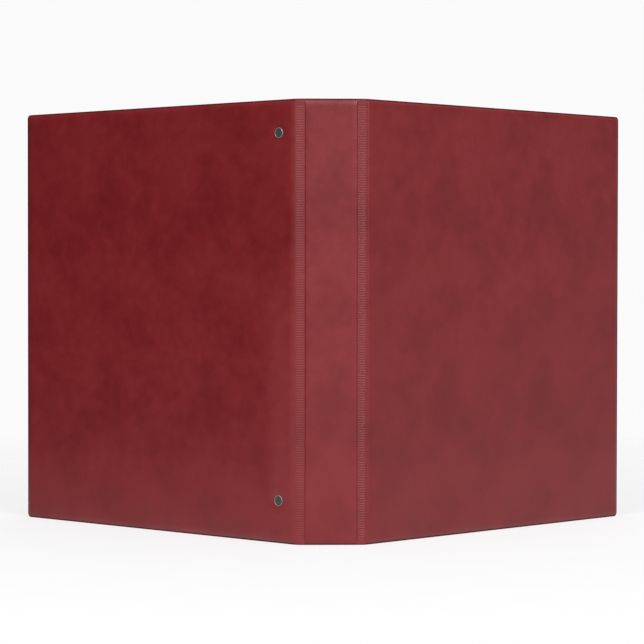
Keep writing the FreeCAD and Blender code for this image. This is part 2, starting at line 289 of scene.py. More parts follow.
# mesh helpers: a front and a back grid of points make one closed sheet
def thickGrid(front, back, keep=None):
    rows, columns = len(front), len(front[0])
    points = [p for row in front for p in row] + [p for row in back for p in row]
    shift = rows * columns
    cells = {(i, j) for i in range(rows - 1) for j in range(columns - 1) if keep is None or keep(i, j)}
    faces = []
    for i, j in sorted(cells):
        corner = [i * columns + j, i * columns + j + 1, (i + 1) * columns + j + 1, (i + 1) * columns + j]
        faces.append(tuple(corner))
        faces.append(tuple(k + shift for k in reversed(corner)))
        beside = [(i - 1, j), (i, j + 1), (i + 1, j), (i, j - 1)]
        for k, cell in enumerate(beside):
            if cell not in cells:
                a, b = corner[k], corner[(k + 1) % 4]
                faces.append((b, a, a + shift, b + shift))
    return points, faces


def makePiece(name, points, faces, place, materials, flat=None, edge=None, slotOf=None, sharp=40):
    used = sorted({k for face in faces for k in face})
    index = {k: n for n, k in enumerate(used)}
    mesh = bpy.data.meshes.new(name)
    placed = [place @ Vector(points[k]) for k in used]
    mesh.from_pydata(placed, [], [[index[k] for k in face] for face in faces])
    spots = [value for k in used for value in (flat or points)[k]]
    mesh.attributes.new("flatPlace", "FLOAT_VECTOR", "POINT").data.foreach_set("vector", spots)
    tones = [edge[k] if edge else 0.0 for k in used]
    mesh.attributes.new("edgeTone", "FLOAT", "POINT").data.foreach_set("value", tones)
    for material in materials:
        mesh.materials.append(material)
    if slotOf:
        for n, polygon in enumerate(mesh.polygons):
            polygon.material_index = slotOf[n]
    built = bmesh.new()
    built.from_mesh(mesh)
    bmesh.ops.recalc_face_normals(built, faces=built.faces)
    built.to_mesh(mesh)
    built.free()
    mesh.shade_smooth()
    mesh.set_sharp_from_angle(angle=math.radians(sharp))
    piece = bpy.data.objects.new(name, mesh)
    bpy.context.scene.collection.objects.link(piece)
    return piece


def settle(piece, body, slot, *nodes):
    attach(piece, body)
    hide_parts(*nodes)
    return piece


def gridLines(low, high, edgeSteps, coarse, marks=(), markSteps=()):
    fine = {round(low + s, 7) for s in edgeSteps} | {round(high - s, 7) for s in edgeSteps}
    fine |= {round(mark + s, 7) for mark in marks for s in markSteps}
    start, stop = low + edgeSteps[-1], high - edgeSteps[-1]
    count = max(1, round((stop - start) / coarse))
    plain = [start + (stop - start) * k / count for k in range(count + 1)]
    return sorted(fine | {p for p in plain if all(abs(p - f) > coarse / 3 for f in fine)})


def faceMiddle(face, points):
    return [sum(points[k][n] for k in face) / len(face) for n in (0, 2)]


def tube(path, radius, sides=20, tips=()):
    # a round bar along a path of points; tips are the shares of the radius that the first rings have
    rings = []
    for k, point in enumerate(path):
        way = (path[min(k + 1, len(path) - 1)] - path[max(k - 1, 0)]).normalized()
        side = Vector((0, 0, 1))
        other = way.cross(side).normalized()
        reach = radius * (tips[k] if k < len(tips) else 1.0)
        rings.append([
            point + (side * math.cos(a) + other * math.sin(a)) * reach
            for a in (2 * math.pi * n / sides for n in range(sides))
        ])
    points = [p for ring in rings for p in ring]
    faces = [tuple(reversed(range(sides))), tuple(range(len(points) - sides, len(points)))]
    for k in range(len(rings) - 1):
        for n in range(sides):
            m = (n + 1) % sides
            a, b = k * sides, (k + 1) * sides
            faces.append((a + n, a + m, b + m, b + n))
    return points, faces


def lathe(profile, centre, sides=48):
    # profile is (radius, v) pairs about a line along v through centre
    points = []
    for radius, v in profile:
        for n in range(sides):
            angle = 2 * math.pi * n / sides
            across, up = radius * math.cos(angle), radius * math.sin(angle)
            points.append(Vector((centre[0] + across, v, centre[1] + up)))
    faces = [tuple(range(sides)), tuple(reversed(range(len(points) - sides, len(points))))]
    for k in range(len(profile) - 1):
        for n in range(sides):
            m = (n + 1) % sides
            a, b = k * sides, (k + 1) * sides
            faces.append((a + n, b + n, b + m, a + m))
    return points, faces


roundLook = {"merge": 0.002 * mm, "flatWithin": 2, "hardOver": 28, "sharpOver": 35}  # angles in degrees


def softened(node, name, width, material, body, slot, segments=3):
    # the CAD shape with its hard edges rounded
    built = bmesh.new()
    built.from_mesh(frame["nodes"][node].data)
    bmesh.ops.remove_doubles(built, verts=built.verts, dist=roundLook["merge"])
    flat = math.radians(roundLook["flatWithin"])
    bmesh.ops.dissolve_limit(built, angle_limit=flat, verts=built.verts, edges=built.edges)
    least = math.radians(roundLook["hardOver"])
    hard = [e for e in built.edges if len(e.link_faces) == 2 and e.calc_face_angle() > least]
    rounding = {"offset": width, "segments": segments, "profile": 0.5, "affect": "EDGES"}
    bmesh.ops.bevel(built, geom=hard, clamp_overlap=True, **rounding)
    bmesh.ops.recalc_face_normals(built, faces=built.faces)
    mesh = bpy.data.meshes.new(name)
    built.to_mesh(mesh)
    built.free()
    mesh.materials.clear()
    mesh.materials.append(material)
    for polygon in mesh.polygons:
        polygon.material_index = 0
    mesh.shade_smooth()
    mesh.set_sharp_from_angle(angle=math.radians(roundLook["sharpOver"]))
    piece = bpy.data.objects.new(name, mesh)
    bpy.context.scene.collection.objects.link(piece)
    return settle(piece, body, slot, node)


# panels: an outer and an inner skin each, welded round their edges
bandLook = {
    "overSpine": 0.95 * mm,
    "rib": 1.6 * mm,
    "plainEnd": 4.2 * mm,
    "samples": 8,  # rows for each rib
    "columns": 20,
    "ribsStart": (0.04, 0.16),  # shares of the way from the spine to the cover
    "ribsStop": (0.98, 0.82),
    "groove": 0.16 * mm,
    "grooveAt": 0.03,
    "grooveWide": 0.035,
    "trim": 0.10 * mm,
    "trimWide": 0.16 * mm,
    "outline": 1.1 * mm,
    "bendFrom": 0.3 * mm,  # the bend runs from this far past the spine's edge to this far before the cover
    "bendTo": 0.1 * mm,
    "curveGain": 1.02,  # the curved band is this much longer than the straight way
}
skinLook = {
    "sheet": 0.45 * mm,
    "flange": 0.5 * mm,
    "weldWide": 0.5 * mm,
    "edgeShare": 0.4,
    "rise": 1.7 * mm,
    "riseCurve": 1.5,
    "bandWall": 0.7 * mm,
    "bandWallStart": -0.21 * mm,
    "bandWallShare": 0.6,
    "bandSlope": 4.5 * mm,
    "quickSlope": 0.85,
    "boardHalf": 1.0 * mm,
    "boardInset": 3.0 * mm,
    "boardGap": 0.02 * mm,
    "thinnest": 0.1 * mm,
    "edgeSteps": [
        step * mm
        for step in (0, 0.12, 0.3, 0.5, 0.75, 1, 1.25, 1.5, 1.8, 2.1, 2.4, 2.7, 3, 3.3, 3.7, 4.2, 5, 6, 8)
    ],
    "coarse": 5 * mm,
    "foreCorner": 3 * mm,
    "grooveDepth": 0.14 * mm,
    "grooveAt": 1.0 * mm,
    "grooveWide": 0.33 * mm,
    "trim": 0.12 * mm,  # the cut edge is rounded off by this much
    "trimWide": 0.16 * mm,
    "outlineFrom": 0.3 * mm,
    "outlineTo": 1.2 * mm,
    "dimple": 0.45 * mm,
    "dimpleFrom": 2.6 * mm,
    "dimpleReach": 9 * mm,
    "dimpleStep": 1.6 * mm,
    "holeRadius": 2.4 * mm,
    "ripple": 0.07 * mm,
    "ripples": [((14, 9), 1, 0), ((45, 38), 0.4, 7)],  # waves a metre across and up, share, seed shift
    "bowStart": 22 * mm,
    "bowReach": 110 * mm,
    "bowFull": 30 * mm,
    "bowTop": 240 * mm,
    "bowBottom": 50 * mm,
    "bowLeast": 0.55,
}
# where the painted sheen lies: a pale wedge beside the back cover's hinge, a painted reflection
paintedSheenLook = {
    "full": 15 * mm,  # distances from the hinge
    "wideLow": 27 * mm,
    "wideHigh": 36 * mm,
    "bottom": -10 * mm,  # heights
    "fullAbove": 50 * mm,
    "fullBelow": 140 * mm,
    "top": 205 * mm,
}


def roundedCorner(u, z, low, high, radius):
    # moves a grid point near a fore corner onto a round corner and gives its distance from the outline
    fore = high[0] - radius
    for middle, way in ((low[2] + radius, -1), (high[2] - radius, 1)):
        across, up = u - fore, (z - middle) * way
        if across > 0 and up > 0:
            squareness = max(across, up) / math.hypot(across, up)
            return fore + across * squareness, middle + up * squareness * way, radius - max(across, up)
    return u, z, min(high[0] - u, z - low[2], high[2] - z)


def skinHeight(low, high, u, z, free, panel):
    # how far the outside of the skin stands from the seam; free is the distance from the nearest cut edge
    risen = max(0.0, free - skinLook["weldWide"]) / skinLook["rise"]
    weld = 1 - math.exp(-risen ** skinLook["riseCurve"])
    for distance, soft in ((u - low[0], panel["hingeSoft"]), (high[0] - u, panel["farSoft"])):
        if soft:
            wall = smooth(skinLook["bandWallStart"], skinLook["bandWall"], distance)
            away = 1 - min(1.0, max(0.0, distance / skinLook["bandSlope"]))
            slope = lerp(smooth(0, soft, distance), 1 - away * away, skinLook["quickSlope"])
            weld *= lerp(slope, wall * lerp(skinLook["bandWallShare"], 1.0, slope), panel["wall"])
    stand = lerp(skinLook["flange"], abs(panel["top"]), weld)
    groove = math.exp(-((free - skinLook["grooveAt"]) / skinLook["grooveWide"]) ** 2)
    stand -= skinLook["grooveDepth"] * groove
    stand -= skinLook["trim"] * math.exp(-(free / skinLook["trimWide"]) ** 2)
    wave = 0
    for (across, up), share, shift in skinLook["ripples"]:
        wave += share * noise.noise(Vector((u * across, z * up, panel["seed"] + shift)))
    stand += skinLook["ripple"] * weld * (wave if panel["side"] < 0 else -0.6 * abs(wave))
    if panel["bow"]:
        along = lerp(skinLook["bowLeast"], 1.0, smooth(skinLook["bowTop"], skinLook["bowBottom"], z))
        distance = u - low[0]
        swelling = smooth(0, skinLook["bowStart"], distance)
        swelling *= smooth(skinLook["bowReach"], skinLook["bowFull"], distance)
        stand += panel["bow"] * along * swelling * weld
    for at in panel["rivets"]:
        reach = math.hypot(u - at[0], z - at[1])
        pull = 1 - smooth(skinLook["dimpleFrom"], skinLook["dimpleReach"], reach)
        stand -= skinLook["dimple"] * pull * weld
    return stand


def aroundHole(u, z, holes, radius):
    # moves the grid points near a hole from squares onto circles
    for at in holes:
        across, up = u - at[0], z - at[1]
        square = max(abs(across), abs(up))
        if 0 < square < 2 * radius:
            share = min(1.0, 2 - square / radius)
            factor = lerp(1.0, square / math.hypot(across, up), share)
            return at[0] + across * factor, at[1] + up * factor
    return u, z


def offHoles(across, up, holes, radius):
    # keeps the grid cells outside the square holes that aroundHole makes round
    def keep(i, j):
        u = (across[j] + across[j + 1]) / 2
        z = (up[i] + up[i + 1]) / 2
        return all(max(abs(u - at[0]), abs(z - at[1])) > radius for at in holes)

    return keep


def paintedSheenWedge(u, z, tall):
    # a painted reflection: a pale wedge of painted sheen beside the hinge, widest near the top and gone at
    # both ends
    wide = lerp(paintedSheenLook["wideLow"], paintedSheenLook["wideHigh"], z / tall)
    upper = smooth(paintedSheenLook["top"], paintedSheenLook["fullBelow"], z)
    lower = smooth(paintedSheenLook["bottom"], paintedSheenLook["fullAbove"], z)
    return upper * lower * smooth(wide, paintedSheenLook["full"], u)


def panelSkin(name, place, body, slot, material, panel):
    low, high = localBox(name, place)
    if panel["farSoft"]:  # the spine's bands start a little inside its panel
        low[0] += bandLook["overSpine"]
        high[0] -= bandLook["overSpine"]
    side, rivets, roundFore = panel["side"], panel["rivets"], panel["roundFore"]
    panel["top"] = low[1] if side < 0 else high[1]
    steps = skinLook["edgeSteps"]
    hole = skinLook["holeRadius"]
    rings = [k * hole / 2 for k in range(-4, 5)]
    rings += [k * skinLook["dimpleStep"] for k in (-6, -5, -4, 4, 5, 6)]
    across = gridLines(low[0], high[0], steps, skinLook["coarse"], sorted({r[0] for r in rivets}), rings)
    up = gridLines(low[2], high[2], steps, skinLook["coarse"], [r[1] for r in rivets], rings)
    front, back, flat, edge = [], [], [], []
    for z in up:
        frontRow, backRow = [], []
        for u in across:
            x, y, free = u, z, min(z - low[2], high[2] - z)
            if roundFore:
                x, y, free = roundedCorner(u, z, low, high, skinLook["foreCorner"])
            x, y = aroundHole(x, y, rivets, hole)
            stand = skinHeight(low, high, x, y, free, panel)
            inside = max(skinLook["boardGap"], stand - skinLook["sheet"])
            if min(u - low[0], high[0] - u, z - low[2], high[2] - z) > skinLook["boardInset"]:
                board = skinLook["boardHalf"] + skinLook["boardGap"]
                inside = min(stand - skinLook["thinnest"], max(inside, board))
            frontRow.append((x, side * stand, y))
            backRow.append((x, side * inside, y))
            flat.append((panel["flatStart"] + x, y, 0.0))
            # edgeTone rises towards a cut edge, where the colour is darkened: a painted dark outline, painted
            # shade
            if free < skinLook["outlineTo"]:
                edge.append(1 - smooth(skinLook["outlineFrom"], skinLook["outlineTo"], free))
            else:
                # inside the outline, edgeTone below zero carries the painted sheen wedge, a painted
                # reflection
                edge.append(-paintedSheenWedge(u, z, high[2]) * panel["paintedSheen"])
        front.append(frontRow)
        back.append(backRow)
    points, faces = thickGrid(front, back, offHoles(across, up, rivets, hole))
    tones = edge * 2
    means = [sum(tones[k] for k in face) / len(face) for face in faces]
    # faces along the cut edges take the darker welded finish: a real weld, with painted shade in its colour
    slots = [1 if mean > skinLook["edgeShare"] else 0 for mean in means]
    finishes = [material, weldedVinyl]
    skin = name.replace("_vinyl", "_skin")
    piece = makePiece(skin, points, faces, place, finishes, flat * 2, tones, slots, 50)
    return settle(piece, body, slot, name)


ringCentre = backPlace.inverted() @ Vector(joints["coin_page_1_turn"]["pos_m"])
rivetSpots = []
for where in ("top", "bottom"):
    low, high = localBox("rivet_" + where, backPlace)
    rivetSpots.append((ringCentre[0], (low[2] + high[2]) / 2))

panelLook = {
    "spine": {"seed": 3, "flatStart": 0.0},
    "front_cover": {"seed": 11, "flatStart": hingeX},
    "back_cover": {"seed": 23, "flatStart": hingeX + 0.3},
}
outsideLook = {
    "spine": {},
    "front_cover": {"bow": 0.15 * mm},
    # the back cover gets the painted sheen beside its hinge, a painted reflection
    "back_cover": {"bow": 0.9 * mm, "wall": 0.0, "paintedSheen": 0.55},
}
softLook = {"spine": 2.5 * mm, "cover": 7 * mm}  # how far the outside rises from a hinge band
places = {"spine": spinePlace, "front_cover": frontPlace, "back_cover": backPlace}
for side, way, material in ((-1, "outer", outerVinyl), (1, "inner", innerVinyl)):
    for body, place in places.items():
        panel = {"side": side, "bow": 0.0, "wall": 1.0, "paintedSheen": 0.0, "rivets": ()}
        panel.update(panelLook[body])
        if side < 0:
            panel.update(outsideLook[body])
        onSpine = body == "spine"
        panel["hingeSoft"] = softLook["cover" if side < 0 and not onSpine else "spine"]
        panel["farSoft"] = softLook["spine"] if onSpine else 0.0
        panel["roundFore"] = not onSpine
        if body == "back_cover":
            panel["rivets"] = rivetSpots
        panelSkin(f"{body}_{way}_vinyl", place, body, way + "_vinyl", material, panel)
print("panel skins made")


# hinge bands: pressed ribs across a thin welded strip that bends between spine and cover
webHigh = localBox("front_hinge_web", spinePlace)[1]
spineHigh = localBox("spine_outer_vinyl", spinePlace)[1]
coverLow = localBox("front_cover_outer_vinyl", frontPlace)[0]
mirrored = Matrix.Scale(-1, 4, (1, 0, 0))
bandSides = {
    "front": {"place": spinePlace, "leave": 0.0, "ribHeight": 0.27 * mm},
    "back": {"place": mirrored, "leave": math.radians(23), "ribHeight": 0.12 * mm},
}


def bandPath(t, depth, leave):
    # a point on the band: t goes from 0 at the spine to 1 at the cover, depth runs inwards from its middle
    start = Vector((spineHigh[0] - bandLook["overSpine"], 0, 0))
    end = Vector((hingeX + coverLow[0] * math.cos(restAngle), coverLow[0] * math.sin(restAngle), 0))
    reach = (end - start).length
    turn = restAngle - leave
    into, out = Vector((reach, 0, 0)), Vector((math.cos(turn), math.sin(turn), 0)) * reach
    blended = 3 * t * t - 2 * t ** 3
    point = start.lerp(end, blended) + into * (t ** 3 - 2 * t * t + t) + out * (t ** 3 - t * t)
    way = (end - start) * 6 * (t - t * t) + into * (3 * t * t - 4 * t + 1) + out * (3 * t * t - 2 * t)
    facing = math.atan2(way[1], way[0]) + leave * smooth(0.7, 1.0, t)
    return point + Vector((-math.sin(facing), math.cos(facing), 0)) * depth, t * reach * bandLook["curveGain"]


def hingeBand(where, place, leave, ribHeight):
    tall = webHigh[2]
    half = skinLook["flange"]
    count = round(tall / bandLook["rib"]) * bandLook["samples"]
    front, back, flat, edge = [], [], [], []
    for k in range(count + 1):
        z = tall * k / count
        free = min(z, tall - z)
        ends = smooth(bandLook["plainEnd"] - 1.0 * mm, bandLook["plainEnd"] + 0.6 * mm, free)
        wave = 0.5 - 0.5 * math.cos(2 * math.pi * z / bandLook["rib"])
        trimmed = bandLook["trim"] * math.exp(-(free / bandLook["trimWide"]) ** 2)
        frontRow, backRow = [], []
        for n in range(bandLook["columns"] + 1):
            share = n / bandLook["columns"]
            across = smooth(*bandLook["ribsStart"], share) * smooth(*bandLook["ribsStop"], share)
            press = ribHeight * wave * across * ends + trimmed
            beside = (share - bandLook["grooveAt"]) / bandLook["grooveWide"]
            groove = bandLook["groove"] * math.exp(-beside ** 2) * ends
            outer, along = bandPath(share, -half + press + groove, leave)
            inner, along = bandPath(share, half - 0.5 * press, leave)
            frontRow.append((outer[0], outer[1], z))
            backRow.append((inner[0], inner[1], z))
            flat.append((spineHigh[0] - bandLook["overSpine"] + along, z, 0.0))
            # edgeTone rises towards the band's cut ends, where the colour is darkened: a painted dark
            # outline, painted shade
            edge.append(1 - smooth(0, bandLook["outline"], free))
        front.append(frontRow)
        back.append(backRow)
    points, faces = thickGrid(front, back)
    name = where + "_hinge_band"
    piece = makePiece(name, points, faces, place, [hingeVinyl], flat * 2, edge * 2, None, 60)
    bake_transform(piece)
    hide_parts(where + "_hinge_web")


for where, look in bandSides.items():
    hingeBand(where, **look)
print("hinge bands made")


# rivets: a flat dished head with a rolled rim outside, clinched on the ring plate inside
rivetLook = {
    "dish": 0.22 * mm,
    "faceRadius": 3.12 * mm,
    "headThick": 0.6 * mm,
    "clinchThick": 0.6 * mm,
    "shank": 2.3 * mm,
    "sides": 48,
    "postRound": 0.15 * mm,
}


def rivetPiece(where, spot):
    low, high = localBox("rivet_" + where, backPlace)
    radius = (high[0] - low[0]) / 2
    headTop = low[1]
    seat = headTop + rivetLook["headThick"]
    shank = rivetLook["shank"]
    plateTop = high[1] - rivetLook["clinchThick"]
    face = rivetLook["faceRadius"]
    profile = [
        (0.1 * mm, headTop + rivetLook["dish"] + 0.03 * mm),
        (0.6 * face, headTop + rivetLook["dish"] + 0.02 * mm),
        (0.92 * face, headTop + rivetLook["dish"]),
        (face, headTop + 0.6 * rivetLook["dish"]),
        (face + 0.07 * mm, headTop + 0.05 * mm),
        (face + 0.18 * mm, headTop),
        (radius - 0.15 * mm, headTop + 0.06 * mm),
        (radius - 0.03 * mm, headTop + 0.22 * mm),
        (radius, headTop + 0.42 * mm),
        (radius - 0.08 * mm, seat),
        (shank, seat),
        (shank, plateTop),
        (radius - 0.1 * mm, plateTop),
        (radius, plateTop + 0.2 * mm),
        (radius - 0.35 * mm, plateTop + 0.5 * mm),
        (0.62 * radius, high[1]),
        (0.45 * radius, high[1] - 0.12 * mm),
        (0.1 * mm, high[1] - 0.2 * mm),
    ]
    sides = rivetLook["sides"]
    points, faces = lathe(profile, spot, sides)
    slots = [0, 1] + [0 if k < 3 else 1 for k in range(len(profile) - 1) for n in range(sides)]
    finishes = [darkRivet, paleRivet]
    name = "rivet_head_" + where
    piece = makePiece(name, points, faces, backPlace, finishes, None, None, slots, 50)
    settle(piece, "back_cover", "rivet_metal", "rivet_" + where)


for where, spot in zip(("top", "bottom"), rivetSpots):
    rivetPiece(where, spot)
    sleeve, rounding = "rivet_sleeve_" + where, rivetLook["postRound"]
    softened("rivet_post_" + where, sleeve, rounding, nickel, "back_cover", "rivet_metal")
print("rivets made")


# ring plate: a sheet steel arch with rolled lips, slots for the wires and open ears at its ends
plateLook = {
    "sheet": 1.0 * mm,
    "lip": 3.4 * mm,
    "crownRun": 5.0 * mm,
    "bendRadius": 1.6 * mm,
    "ear": 8.0 * mm,
    "bead": 0.35 * mm,
    "beadOffRing": (6 * mm, 10 * mm),
    "beadOffRivet": (5 * mm, 9 * mm),
    "beadOffEar": (3 * mm, 7 * mm),
    "slotGap": 0.8 * mm,
    "slotInner": 1.2 * mm,
    "slotOuter": 0.4 * mm,
    "bladeTop": 3.2 * mm,
    "coarse": 4 * mm,
}
ringLook = {
    "gap": 0.1 * mm,
    "footAngle": -40,
    "tipSteps": [0, 0.25 * mm, 0.5 * mm, 1.1 * mm, 1.25 * mm, 1.4 * mm, 1.8 * mm],
    "tipShares": (0.62, 0.86, 0.97, 1.0, 0.9, 1.0, 1.0),
    "arcSteps": 30,
    "sides": 20,
    "bladeRound": 0.15 * mm,
    "leverRound": 0.4 * mm,
    "pinRound": 0.25 * mm,
}
ringHeights = []
for where in ("top", "middle", "bottom"):
    low, high = localBox("ring_half_fore_" + where, backPlace)
    ringHeights.append((low[2] + high[2]) / 2)
low, high = localBox("ring_half_fore_middle", backPlace)
wireRadius = (high[2] - low[2]) / 2
ringRadius = high[0] - ringCentre[0] - wireRadius


def roundedPath(corners, radius, arcSteps=5, runStep=1.2 * mm):
    path = [Vector(corners[0])]
    for k in range(1, len(corners) - 1):
        here, before, after = Vector(corners[k]), Vector(corners[k - 1]), Vector(corners[k + 1])
        inWay, outWay = (before - here).normalized(), (after - here).normalized()
        half = inWay.angle(outWay) / 2
        reach = radius / math.tan(half)
        centre = here + (inWay + outWay).normalized() * (radius / math.sin(half))
        first, last = here + inWay * reach, here + outWay * reach
        count = max(1, round((first - path[-1]).length / runStep))
        start = path[-1].copy()
        path += [start.lerp(first, (n + 1) / count) for n in range(count)]
        spokeA, spokeB = (first - centre).normalized(), (last - centre).normalized()
        for n in range(1, arcSteps + 1):
            path.append(centre + spokeA.slerp(spokeB, n / arcSteps) * radius)
    count = max(1, round((Vector(corners[-1]) - path[-1]).length / runStep))
    start = path[-1].copy()
    path += [start.lerp(Vector(corners[-1]), (n + 1) / count) for n in range(count)]
    return path


def ringPlate():
    low, high = localBox("ring_plate", backPlace)
    half = plateLook["sheet"] / 2
    middle = (low[0] + high[0]) / 2
    foot = (high[0] - low[0]) / 2 - half
    crown = foot - plateLook["crownRun"]
    corners = [
        (-foot + plateLook["lip"], low[1] + half),
        (-foot, low[1] + half),
        (-crown, high[1] - half),
        (crown, high[1] - half),
        (foot, low[1] + half),
        (foot - plateLook["lip"], low[1] + half),
    ]
    path = roundedPath([Vector((x, y, 0)) for x, y in corners], plateLook["bendRadius"])
    slotHalf = wireRadius + plateLook["slotGap"]
    slotSteps = [-slotHalf, -slotHalf / 2, 0, slotHalf / 2, slotHalf]
    ear = plateLook["ear"]
    steps = [0, 0.3 * mm, 1 * mm, 2 * mm, ear - 1.5 * mm, ear - 0.5 * mm, ear]
    lines = gridLines(low[2], high[2], steps, plateLook["coarse"], ringHeights, slotSteps)
    front, back = [], []
    for z in lines:
        frontRow, backRow = [], []
        for k, point in enumerate(path):
            way = (path[min(k + 1, len(path) - 1)] - path[max(k - 1, 0)]).normalized()
            out = Vector((-way[1], way[0], 0))
            onCrown = 1 - smooth(0.35 * crown, 0.5 * crown, abs(point[0]))
            bead = plateLook["bead"] * onCrown
            for ring in ringHeights:
                bead *= smooth(*plateLook["beadOffRing"], abs(z - ring))
            for spot in rivetSpots:
                bead *= smooth(*plateLook["beadOffRivet"], abs(z - spot[1]))
            bead *= smooth(*plateLook["beadOffEar"], min(z - low[2], high[2] - z) - ear)
            frontRow.append((middle + point[0] + out[0] * half, point[1] + out[1] * half - bead, z))
            backRow.append((middle + point[0] - out[0] * half, point[1] - out[1] * half - bead, z))
        front.append(frontRow)
        back.append(backRow)
    slotLow, slotHigh = crown - plateLook["slotInner"], foot - plateLook["slotOuter"]
    bladeTop = low[1] + plateLook["bladeTop"]

    def keep(i, j):
        z = (lines[i] + lines[i + 1]) / 2
        x = (path[j][0] + path[j + 1][0]) / 2
        y = (path[j][1] + path[j + 1][1]) / 2
        atRing = any(abs(z - ring) < slotHalf for ring in ringHeights)
        atEnd = min(z - low[2], high[2] - z) < ear - 0.5 * mm
        inSlot = atRing and slotLow < abs(x) < slotHigh
        inNotch = atEnd and abs(x) < crown - 0.2 * mm
        return y <= bladeTop or not (inSlot or inNotch)

    points, faces = thickGrid(front, back, keep)
    piece = makePiece("ring_plate_arch", points, faces, backPlace, [nickel], None, None, None, 35)
    settle(piece, "back_cover", "nickel_steel", "ring_plate")


ringPlate()


def ringHalf(where, side, body):
    low, high = localBox(f"ring_half_{side}_{where}", backPlace)
    wire = (high[2] - low[2]) / 2
    z = (low[2] + high[2]) / 2
    way = 1 if side == "fore" else -1
    radius = (high[0] - ringCentre[0] if way > 0 else ringCentre[0] - low[0]) - wire
    top = math.pi / 2 - math.asin(ringLook["gap"] / radius)
    foot = math.radians(ringLook["footAngle"])
    turns = [top - step / radius for step in ringLook["tipSteps"]]
    arcSteps = ringLook["arcSteps"]
    turns += [lerp(turns[-1], foot, (k + 1) / arcSteps) for k in range(arcSteps)]
    path = []
    for a in turns:
        across, up = way * radius * math.cos(a), radius * math.sin(a)
        path.append(Vector((ringCentre[0] + across, ringCentre[1] + up, z)))
    end = path[-1]
    drop = (end[1] - low[1]) / math.cos(foot)
    for k in range(1, 5):
        path.append(end + Vector((way * math.sin(foot), -math.cos(foot), 0)) * drop * k / 4)
    points, faces = tube(path, wire, ringLook["sides"], ringLook["tipShares"])
    name = f"ring_wire_{side}_{where}"
    piece = makePiece(name, points, faces, backPlace, [nickel], None, None, None, 35)
    settle(piece, body, "nickel_steel", f"ring_half_{side}_{where}")


for where in ("top", "middle", "bottom"):
    ringHalf(where, "fore", "rings_fore")
    ringHalf(where, "spine", "rings_spine")
blade, lever, pin = ringLook["bladeRound"], ringLook["leverRound"], ringLook["pinRound"]
softened("fore_edge_blade", "fore_edge_rail", blade, nickel, "rings_fore", "nickel_steel", 2)
softened("spine_side_blade", "spine_side_rail", blade, nickel, "rings_spine", "nickel_steel", 2)
for where in ("top", "bottom"):
    softened("lever_" + where, "lever_tab_" + where, lever, nickel, where + "_lever", "nickel_steel", 4)
    softened("lever_pin_" + where, "lever_axle_" + where, pin, nickel, "back_cover", "nickel_steel")
print("ring metal made")


# clear sheets: coin pages with columns and rows of pockets, and the covers' inside pockets
pageLook = {
    "pages": 4,
    "firstTurn": 10,  # degrees
    "turnApart": 4,
    "columns": 4,
    "rows": 5,
    "weld": 1.6 * mm,
    "weldSoft": 0.3 * mm,
    "pressed": 0.17 * mm,
    "rise": 0.8 * mm,
    "swell": 0.10 * mm,
    "swellReach": 18 * mm,
    "corner": 4 * mm,
    "hole": 4 * mm,
    "rib": 3 * mm,
    "ribDepth": 0.05 * mm,
    "ribsStart": (13 * mm, 15 * mm),
    "coarse": 7 * mm,
    "pocketCoarse": 6 * mm,
}


def sheetFrame(number):
    angle = math.radians(pageLook["firstTurn"] + pageLook["turnApart"] * (number - 1))
    atRing = Matrix.Translation((ringCentre[0], ringCentre[1], 0))
    return backPlace @ atRing @ Matrix.Rotation(angle, 4, "Z")


def splitEven(low, high, count):
    return [lerp(low, high, k / count) for k in range(count + 1)]


def weldLines(lines, weld):
    # the middles of the welds: half a weld in at the ends, and on the lines between
    return [lines[0] + weld / 2] + lines[1:-1] + [lines[-1] - weld / 2]


